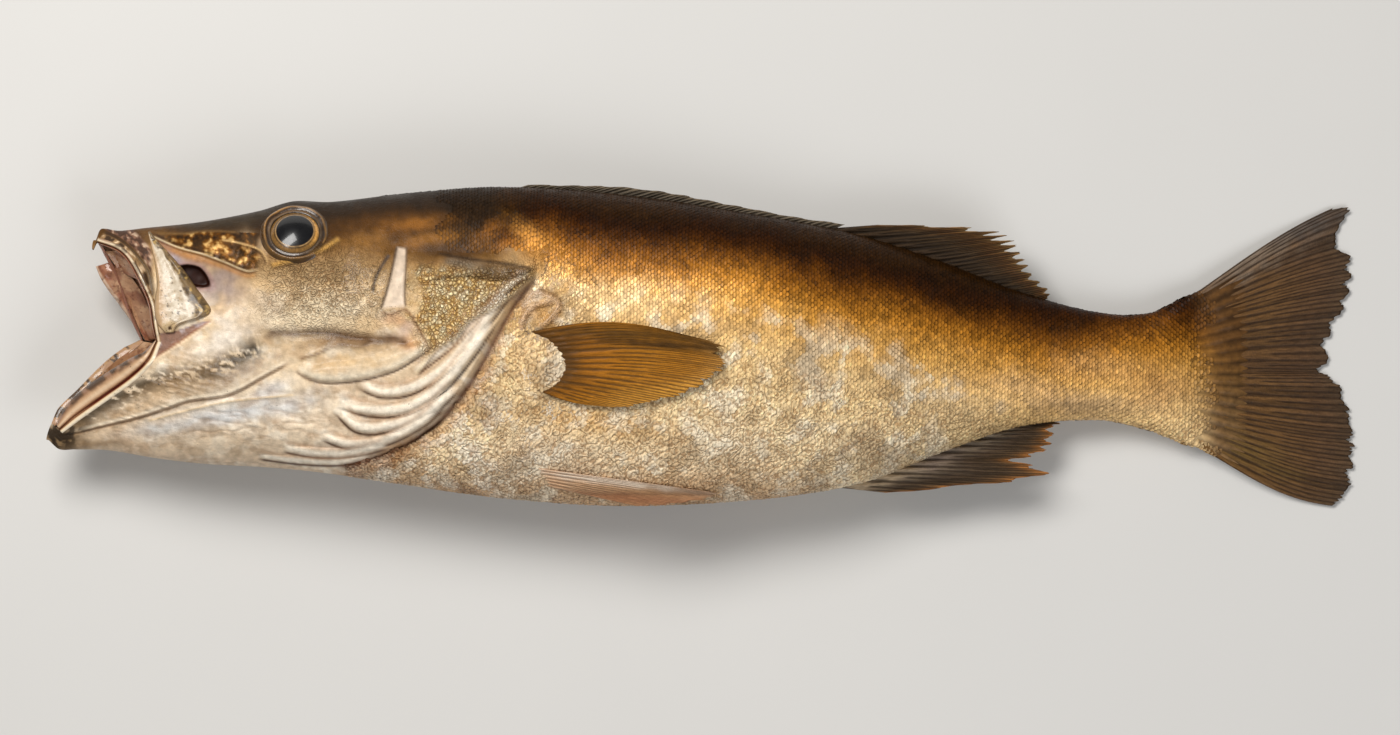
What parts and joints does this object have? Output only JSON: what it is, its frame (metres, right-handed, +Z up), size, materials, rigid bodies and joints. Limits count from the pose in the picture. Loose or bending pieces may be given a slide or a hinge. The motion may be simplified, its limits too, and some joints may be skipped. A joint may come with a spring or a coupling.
{
  "type": "japanese sea bass",
  "caption": "Whole raw sea bass lying on its right side with its mouth gaping, gill covers shut, back fin folded and tail fin spread.",
  "frame": {"origin": "on the table, under the middle of the lying fish", "axes": "+X from the snout to the tail, +Y from the belly to the back, +Z up from the table out of the left flank"},
  "size_m": [0.7216, 0.1772, 0.0896],
  "materials": {
    "skin": "wet scaled skin, dark brown back, gold flank, cream belly",
    "fin": "damp rayed fins, dark brown to amber",
    "mouth": "wet reddish brown lining of the mouth",
    "eye": "clear glossy eye, dark pupil and gold iris"
  },
  "bodies": {
    "root": {"fish": "skin", "eye_left": "eye", "eye_right": "eye"}
  },
  "joints": []
}
